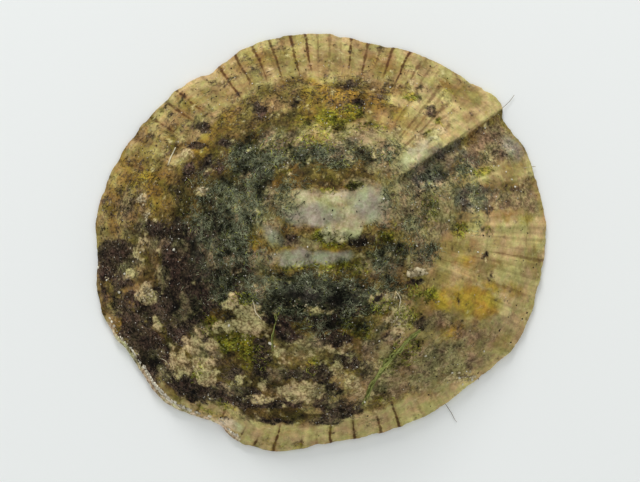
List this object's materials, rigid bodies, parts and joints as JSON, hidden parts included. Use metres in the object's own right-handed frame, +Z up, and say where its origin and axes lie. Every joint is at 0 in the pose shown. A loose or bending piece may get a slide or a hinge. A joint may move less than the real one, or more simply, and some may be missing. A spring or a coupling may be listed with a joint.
{
  "type": "limpet shell",
  "caption": "Low conical limpet shell, open underneath, with fine radial ribs, growth ledges, a worn summit and a narrow flat rim to rest on.",
  "frame": {"origin": "middle of the footprint, on the plane that the rim rests on", "axes": "+X along the shell's length, +Y across it, +Z up through the summit"},
  "size_m": [0.0282, 0.0262, 0.0076],
  "materials": {
    "shell": "weathered matt outside with olive, brown and grey growth; smooth pale inside"
  },
  "bodies": {
    "root": {"limpet_shell": "shell"}
  },
  "joints": []
}
